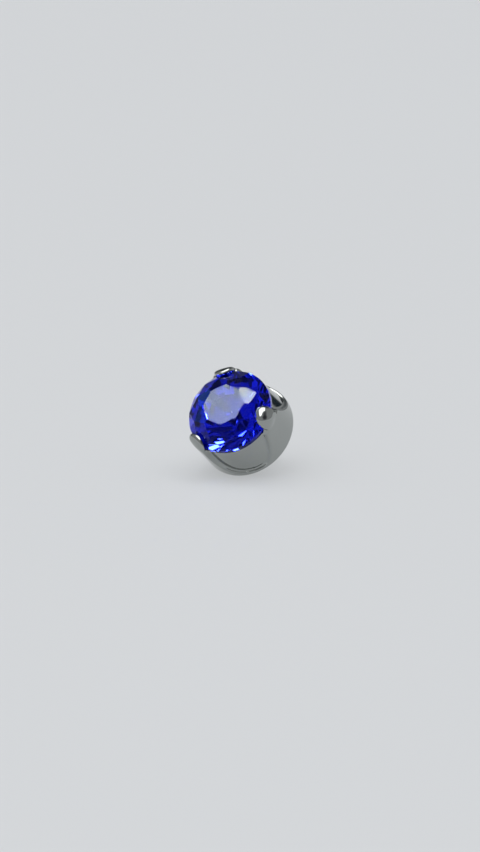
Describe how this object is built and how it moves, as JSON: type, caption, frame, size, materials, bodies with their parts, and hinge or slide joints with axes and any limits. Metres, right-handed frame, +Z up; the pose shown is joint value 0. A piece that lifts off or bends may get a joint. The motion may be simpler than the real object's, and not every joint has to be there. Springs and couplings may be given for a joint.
{
  "type": "labret stud jewelled end",
  "caption": "Jewelled end of a labret stud: a round faceted blue stone held by prongs in a turned metal setting, with a plain pin at its back.",
  "frame": {"origin": "middle of the stud's length and width, on the surface that it rests on", "axes": "+Z up as it rests on its rim and pin tip, -Y towards the stone's face, +Y towards the pin"},
  "size_m": [0.0034, 0.0038, 0.0037],
  "materials": {
    "stone": "polished facets, deep blue",
    "metal": "mirror polished, neutral grey"
  },
  "bodies": {
    "root": {"stone": "stone", "setting": "metal", "pin": "metal"}
  },
  "joints": []
}
